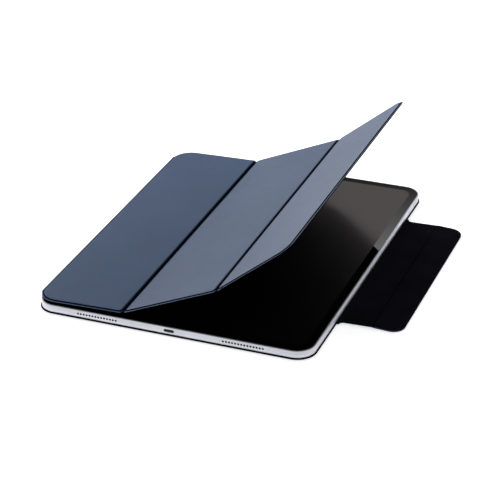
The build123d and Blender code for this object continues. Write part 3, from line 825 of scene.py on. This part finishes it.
materials = {
    "cover_leather": leather(
        "navy_leather",
        deep=(0.009, 0.031, 0.080),
        pale=(0.017, 0.046, 0.108),
        shade_colour=(0.0006, 0.0012, 0.0035),
        marked=(0.055, 0.085, 0.150),
    ),
    "lining_microfibre": microfibre(
        "navy_microfibre",
        deep=(0.0008, 0.0007, 0.0018),
        pale=(0.0022, 0.0018, 0.0042),
        shade_colour=(0.0004, 0.0004, 0.0006),
        sheen=0.014,
    ),
    "stiffener_board": woven(
        "glass_fibre_board", grey(0.010, 0.012), grey(0.030, 0.034), 0.9, 0.0, 0.6
    ),
    "magnet_plating": blasted_metal("nickel_plate", (0.50, 0.49, 0.47), (0.62, 0.61, 0.58), 0.24),
    "rim_plastic": moulded("rim_plastic", (0.004, 0.006, 0.012), (0.008, 0.011, 0.020), 0.5),
    "tablet_aluminium": housing_metal(
        "pale_aluminium", grey(0.60, 0.66), grey(0.68, 0.74), 0.36, hole_shade=grey(0.003, 0.004)
    ),
    "tablet_front_glass": cover_glass(
        "front_glass", grey(0.0004, 0.0005), (0.0008, 0.0007, 0.0008), 0.03
    ),
    "display_panel": black_glass("display_panel", grey(0.004, 0.005), grey(0.008, 0.010), 0.10),
    "battery_film": moulded("battery_film", grey(0.010, 0.012), grey(0.022, 0.026), 0.34),
    "circuit_board": woven(
        "circuit_board", (0.004, 0.012, 0.008), (0.010, 0.030, 0.020), 0.6, 0.0, 0.45
    ),
    "speaker_plastic": moulded("speaker_plastic", grey(0.006), grey(0.014), 0.5),
    "speaker_mesh": woven("speaker_mesh", grey(0.004), grey(0.020), 0.25, 0.6, 0.5),
    "port_steel": blasted_metal("port_steel", grey(0.22, 0.23), grey(0.32, 0.33), 0.32),
    "port_plastic": moulded("port_plastic", grey(0.004), grey(0.009), 0.45),
    "camera_plate": blasted_metal("camera_plate", grey(0.42, 0.46), grey(0.50, 0.55), 0.30),
    "lens_glass": black_glass("lens_glass", (0.001, 0.001, 0.003), (0.003, 0.002, 0.006), 0.01),
    "camera_module": moulded("camera_module", grey(0.006), grey(0.012), 0.4),
    "contact_plating": blasted_metal("gold_contact", (0.62, 0.45, 0.18), (0.74, 0.56, 0.26), 0.22),
    "switch_plastic": moulded("switch_plastic", grey(0.010), grey(0.022), 0.45),
}
for part in frame["record"]["subparts"]:
    node = frame["nodes"][part["node"]]
    node.data.materials.clear()
    node.data.materials.append(materials[part["material_slot"]])


# ---- Stiff panels ---------------------------------------------------------------------------
def span(node):
    """Where a node starts and ends along Y."""
    low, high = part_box(node)
    return low.y, high.y


def dress_panel(body, skin_node, lining_node, section, edge, field, board, opening=None):
    """Skin and lining of one stiff panel, standing for the CAD ones and riding on its body.

    opening is the centre, size and corner of a hole to cut through both.
    """
    fold_shade = FOLD_SHADE if body.startswith("cover") else 0.0
    open_near = body == "cover_panel_1"
    skin = panel_skin(skin_node + "_wrap", section, edge, field, board, fold_shade, open_near)
    sheet = panel_lining(lining_node + "_sheet", section, edge, field)
    for obj, node, slot in (
        (skin, skin_node, "cover_leather"),
        (sheet, lining_node, "lining_microfibre"),
    ):
        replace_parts(obj, node)
        if opening:
            cut_through(obj, *opening, slot)
        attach(obj, body)


_, back_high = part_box("back_skin")
half_width, half_length = back_high.x, back_high.y
field_half_width, field_half_length = half_width - END_FLANGE, half_length - END_FLANGE
back_edge = Sheet(
    -half_width, half_width, -half_length, half_length, BACK_CORNER, BACK_CORNER, 1.0, 1.0
)
back_field = Sheet(
    -field_half_width,
    field_half_width,
    -field_half_length,
    field_half_length,
    BACK_CORNER - END_FLANGE,
    BACK_CORNER - END_FLANGE,
    1.0,
    1.0,
)
opening_low, opening_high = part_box("camera_opening_rim")
opening_centre = (opening_low + opening_high) / 2
opening_size = opening_high - opening_low - 2 * RIM_WIDTH * Vector((1, 1, 0))
dress_panel(
    "back_panel",
    "back_skin",
    "back_lining",
    back_section,
    back_edge,
    back_field,
    BACK_BOARD,
    (opening_centre, opening_size, OPENING_CORNER),
)

spine_low, spine_high = span("spine_skin")
spine_reach = (cover_axis - spine_axis).length
spine_edge = Sheet(
    SETBACK, spine_reach - SETBACK, spine_low, spine_high, SPINE_CORNER, SPINE_CORNER, 0.0, 0.0
)
spine_field = Sheet(
    SETBACK + FOLD_FLANGE,
    spine_reach - SETBACK - FOLD_FLANGE,
    spine_low + END_FLANGE,
    spine_high - END_FLANGE,
    SPINE_CORNER,
    SPINE_CORNER,
    0.0,
    0.0,
)
dress_panel(
    "spine", "spine_skin", "spine_lining", spine_section, spine_edge, spine_field, COVER_BOARD
)

cover_low, cover_high = span("cover_skin_2")
at_fold = (PANEL_CORNER, FIELD_CORNER)
cover_panels = (
    # section, width, corners of edge and field at the near side, the same at the far side
    (
        panel_1_section,
        (fold_1_axis - cover_axis).length,
        (COVER_OUTER_CORNER, COVER_OUTER_CORNER - FOLD_FLANGE),
        at_fold,
    ),
    (panel_2_section, (fold_2_axis - fold_1_axis).length, at_fold, at_fold),
    (
        panel_3_section,
        panel_3_reach,
        at_fold,
        (COVER_FREE_CORNER, COVER_FREE_CORNER - END_FLANGE),
    ),
)
for number, (section, width, near_corners, far_corners) in enumerate(cover_panels, 1):
    last_panel = number == len(cover_panels)
    free_far = 1.0 if last_panel else 0.0
    far = width if last_panel else width - SETBACK
    far_flange = END_FLANGE if last_panel else FOLD_FLANGE
    edge = Sheet(
        SETBACK, far, cover_low, cover_high, near_corners[0], far_corners[0], 0.0, free_far
    )
    field = Sheet(
        SETBACK + FOLD_FLANGE,
        far - far_flange,
        cover_low + END_FLANGE,
        cover_high - END_FLANGE,
        near_corners[1],
        far_corners[1],
        0.0,
        free_far,
    )
    dress_panel(
        f"cover_panel_{number}",
        f"cover_skin_{number}",
        f"cover_lining_{number}",
        section,
        edge,
        field,
        COVER_BOARD,
    )

# ---- Flap -----------------------------------------------------------------------------------
flap_low, flap_high = span("flap_skin_middle")
inner_far = (bend_axis - root_axis).length - FLAP_BEND_SETBACK
middle_far = (tip_axis - bend_axis).length - FLAP_TIP_SETBACK
flap_along = (flap_low, flap_high, 0.0, 0.0, 0.0, 0.0)
flap_parts = (
    ("inner", flap_inner_section, FlaredSheet(SETBACK, inner_far, *flap_along)),
    ("middle", flap_middle_section, Sheet(FLAP_BEND_SETBACK, middle_far, *flap_along)),
)
for word, section, sheet in flap_parts:
    lining = soft_layer(
        f"flap_lining_{word}_sheet", section, sheet, 0.0, FLAP_LAYER, 1, "lining_microfibre"
    )
    skin = soft_layer(
        f"flap_skin_{word}_sheet", section, sheet, -FLAP_LAYER, 0.0, -1, "cover_leather"
    )
    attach(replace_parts(lining, f"flap_lining_{word}"), f"flap_{word}")
    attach(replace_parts(skin, f"flap_skin_{word}"), f"flap_{word}")

tip_sheet = Sheet(FLAP_TIP_SETBACK, tip_reach, flap_low, flap_high, 0.0, FLAP_CORNER, 0.0, 1.0)
tip_face = half_flap_board + FLAP_LAYER
tip_lining = soft_layer(
    "flap_lining_outer_sheet",
    flap_outer_section,
    tip_sheet,
    half_flap_board,
    tip_face,
    1,
    "lining_microfibre",
)
board_pocket = tip_sheet.outline(FLAP_BOARD_INSET)
tip_rings = [
    (flat(board_pocket, -half_flap_board), 0.0),
    (flat(board_pocket, half_flap_board), 0.0),
    (flat(tip_sheet.outline(), half_flap_board), 0.0),
]
tip_rings += turned_edge(tip_sheet, -tip_face, LAYER_ROUND, -1)
tip_rings.append((flat(tip_sheet.outline(3 * LAYER_ROUND), -tip_face), 0.0))
tip_skin = stacked("flap_skin_outer_sheet", flap_outer_section, tip_rings, "cover_leather")
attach(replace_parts(tip_lining, "flap_lining_outer"), "flap_outer")
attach(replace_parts(tip_skin, "flap_skin_outer"), "flap_outer")

# ---- Hinge strips ---------------------------------------------------------------------------
# Low and high faces of the skin and of the lining, where each kind of panel meets a strip.
PANEL_FACES = ((SPLIT, HALF_FLANGE), (-HALF_FLANGE, SPLIT))
FLIPPED_FACES = ((-HALF_FLANGE, -SPLIT), (-SPLIT, HALF_FLANGE))
SOFT_FACES = ((-FLAP_LAYER, 0.0), (0.0, FLAP_LAYER))
TIP_FACES = ((-tip_face, half_flap_board), (half_flap_board, tip_face))
spine_ends = (spine_low + STRIP_END_LAP, spine_high - STRIP_END_LAP)
fold_ends = (
    cover_low + PANEL_CORNER - STRIP_END_LAP,
    cover_high - PANEL_CORNER + STRIP_END_LAP,
)
root_ends = (flap_low - FLAP_FLARE, flap_high + FLAP_FLARE)
flap_ends = (flap_low, flap_high)
hinge_strips = (
    # name, web, axis, (first body, angle, faces), (second body, angle, faces), setback, ends, dip
    (
        "spine_hinge",
        "spine_web",
        spine_axis,
        ("back_panel", back_section.angle, PANEL_FACES),
        ("spine", spine_section.angle, PANEL_FACES),
        SETBACK,
        spine_ends,
        0.0,
    ),
    (
        "cover_hinge",
        "cover_web",
        cover_axis,
        ("spine", spine_section.angle, PANEL_FACES),
        ("cover_panel_1", panel_1_section.angle, PANEL_FACES),
        SETBACK,
        spine_ends,
        0.0,
    ),
    (
        "fold_1",
        "fold_web_1",
        fold_1_axis,
        ("cover_panel_1", panel_1_section.angle, PANEL_FACES),
        ("cover_panel_2", panel_2_section.angle, PANEL_FACES),
        SETBACK,
        fold_ends,
        FOLD_DIP,
    ),
    (
        "fold_2",
        "fold_web_2",
        fold_2_axis,
        ("cover_panel_2", panel_2_section.angle, PANEL_FACES),
        ("cover_panel_3", panel_3_section.angle, PANEL_FACES),
        SETBACK,
        fold_ends,
        FOLD_DIP,
    ),
    (
        "flap_root",
        "flap_root_web",
        root_axis,
        ("back_panel", 0.0, FLIPPED_FACES),
        ("flap_inner", flap_inner_section.angle, SOFT_FACES),
        SETBACK,
        root_ends,
        0.0,
    ),
    (
        "flap_bend",
        "flap_bend_web",
        bend_axis,
        ("flap_inner", flap_inner_section.angle, SOFT_FACES),
        ("flap_middle", flap_middle_section.angle, SOFT_FACES),
        FLAP_BEND_SETBACK,
        flap_ends,
        0.0,
    ),
    (
        "flap_tip",
        "flap_tip_web",
        tip_axis,
        ("flap_middle", flap_middle_section.angle, SOFT_FACES),
        ("flap_outer", flap_outer_section.angle, TIP_FACES),
        FLAP_TIP_SETBACK,
        flap_ends,
        CREASE_DIP,
    ),
)
for name, web, axis, before, after, setback, ends, dip in hinge_strips:
    first_body, first_angle, first_faces = before
    second_body, second_angle, second_faces = after
    on_fold, on_flap = name.startswith("fold"), name.startswith("flap")
    skin = strip(
        name + "_skin_strip",
        axis,
        (first_angle, second_angle),
        setback,
        first_faces[0],
        second_faces[0],
        ends,
        "cover_leather",
        dip if on_fold else 0.0,
        (FOLD_SHADE, FOLD_SHADE) if on_fold else STRIP_SHADE,
    )
    lining = strip(
        name + "_lining_strip",
        axis,
        (first_angle, second_angle),
        setback,
        first_faces[1],
        second_faces[1],
        ends,
        "lining_microfibre",
        dip if on_flap else 0.0,
        LINING_STRIP_SHADE if dip else (0.0, 0.0),
    )
    for obj in (skin, lining):
        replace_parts(obj, web)
        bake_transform(obj)

# ---- Floor, light and camera ----------------------------------------------------------------
def make_floor():
    """Pale floor that always lies just under the lowest point of the object."""
    mesh = bpy.data.meshes.new("floor")
    half = FLOOR_SIZE / 2
    mesh.from_pydata(
        [(-half, -half, 0), (half, -half, 0), (half, half, 0), (-half, half, 0)], [], [(0, 1, 2, 3)]
    )
    floor = bpy.data.objects.new("floor", mesh)
    bpy.context.scene.collection.objects.link(floor)
    g = Graph("pale_floor")
    shade = g.noise(g.object_place(), scale=0.002, detail=2.0, roughness=0.5)
    floor.data.materials.append(
        g.surface(
            {
                "Base Color": g.mixed(shade, rgb(*grey(0.88)), rgb(*grey(0.90))),
                "Roughness": 0.9,
                "Specular IOR Level": 0.1,
                "Emission Color": rgb(1.0, 1.0, 1.0),
                "Emission Strength": FLOOR_GLOW,
            }
        )
    )
    measured = bpy.data.collections.new("measured")
    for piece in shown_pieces():
        if piece is not floor:
            measured.objects.link(piece)
    tree = bpy.data.node_groups.new("lowest_point", "GeometryNodeTree")
    tree.interface.new_socket("Geometry", in_out="INPUT", socket_type="NodeSocketGeometry")
    tree.interface.new_socket("Geometry", in_out="OUTPUT", socket_type="NodeSocketGeometry")
    source = tree.nodes.new("NodeGroupInput")
    result = tree.nodes.new("NodeGroupOutput")
    info = tree.nodes.new("GeometryNodeCollectionInfo")
    info.inputs["Collection"].default_value = measured
    realised = tree.nodes.new("GeometryNodeRealizeInstances")
    box = tree.nodes.new("GeometryNodeBoundBox")
    height = tree.nodes.new("ShaderNodeSeparateXYZ")
    shift = tree.nodes.new("ShaderNodeCombineXYZ")
    moved = tree.nodes.new("GeometryNodeTransform")
    for a, b in (
        (info.outputs["Instances"], realised.inputs["Geometry"]),
        (realised.outputs["Geometry"], box.inputs["Geometry"]),
        (box.outputs["Min"], height.inputs["Vector"]),
        (height.outputs["Z"], shift.inputs["Z"]),
        (source.outputs["Geometry"], moved.inputs["Geometry"]),
        (shift.outputs["Vector"], moved.inputs["Translation"]),
        (moved.outputs["Geometry"], result.inputs["Geometry"]),
    ):
        tree.links.new(a, b)
    modifier = floor.modifiers.new("lowest_point", "NODES")
    modifier.node_group = tree


make_floor()

world = bpy.data.worlds.new("studio")
bpy.context.scene.world = world
world.use_nodes = True
sky = world.node_tree
sky.nodes.clear()
ray = sky.nodes.new("ShaderNodeTexCoord")
split = sky.nodes.new("ShaderNodeSeparateXYZ")
background = sky.nodes.new("ShaderNodeBackground")
world_out = sky.nodes.new("ShaderNodeOutputWorld")
sky.links.new(ray.outputs["Generated"], split.inputs["Vector"])


def sky_ramp(levels):
    """The brightness of one side of the sky, by height over the horizon."""
    ramp = sky.nodes.new("ShaderNodeValToRGB")
    sky.links.new(split.outputs["Z"], ramp.inputs["Fac"])
    stops = ramp.color_ramp.elements
    while len(stops) < len(levels):
        stops.new(0.5)
    for stop, (position, value) in zip(stops, levels):
        stop.position = position
        stop.color = (value, value, value * SKY_BLUE, 1.0)
    return ramp.outputs["Color"]


def sky_blend(axis, limits, first, second):
    """Goes from the first sky to the second as a direction's component goes between limits."""
    share = sky.nodes.new("ShaderNodeMapRange")
    share.interpolation_type = "SMOOTHSTEP"
    sky.links.new(split.outputs[axis], share.inputs["Value"])
    share.inputs["From Min"].default_value = limits[0]
    share.inputs["From Max"].default_value = limits[1]
    blended = sky.nodes.new("ShaderNodeMix")
    blended.data_type = "RGBA"
    sky.links.new(share.outputs["Result"], blended.inputs[0])
    sky.links.new(first, blended.inputs[6])
    sky.links.new(second, blended.inputs[7])
    return blended.outputs[2]


behind = sky_blend("X", LEFT_TO_BACK, sky_ramp(LEFT_SKY), sky_ramp(BACK_SKY))
around = sky_blend("Y", FRONT_TO_BEHIND, sky_ramp(FRONT_SKY), behind)
sky.links.new(around, background.inputs["Color"])
sky.links.new(background.outputs["Background"], world_out.inputs["Surface"])
background.inputs["Strength"].default_value = 1.0


def softbox(name, place, aim, width, height, power):
    """Rectangular lamp that lights the object and isn't seen by the camera."""
    light = bpy.data.lights.new(name, "AREA")
    light.shape = "RECTANGLE"
    light.size, light.size_y = width, height
    light.energy = power
    lamp = bpy.data.objects.new(name, light)
    bpy.context.scene.collection.objects.link(lamp)
    lamp.location = place
    lamp.rotation_euler = (Vector(aim) - Vector(place)).to_track_quat("-Z", "Y").to_euler()
    lamp.visible_camera = False
    return lamp


softbox("key_softbox", (-1.2, -1.0, 1.9), (0.0, 0.0, 0.0), width=1.4, height=1.4, power=5.0)
softbox("side_softbox", (-1.7, 1.0, 0.7), (0.0, 0.0, 0.03), width=1.2, height=0.8, power=8.0)
back_softbox = softbox(
    "back_softbox", (-0.42, 0.62, 0.50), (-0.06, 0.10, 0.02), width=0.6, height=0.3, power=5.5
)
back_softbox.visible_glossy = False

scene = bpy.context.scene
scene.view_settings.view_transform = "Standard"
camera_data = bpy.data.cameras.new("camera")
camera_data.sensor_width = SENSOR_WIDTH
camera_data.lens = LENS
camera_data.clip_start, camera_data.clip_end = 0.01, 100.0
camera = bpy.data.objects.new("camera", camera_data)
scene.collection.objects.link(camera)
scene.camera = camera
camera.rotation_euler = (
    Matrix.Rotation(AZIMUTH, 3, "Z")
    @ Matrix.Rotation(math.pi / 2 - ELEVATION, 3, "X")
    @ Matrix.Rotation(-ROLL, 3, "Z")
).to_euler()
_, glass_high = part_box("tablet_glass")
camera.location = Vector((0.0, 0.0, glass_high.z)) + CAMERA_FROM_GLASS
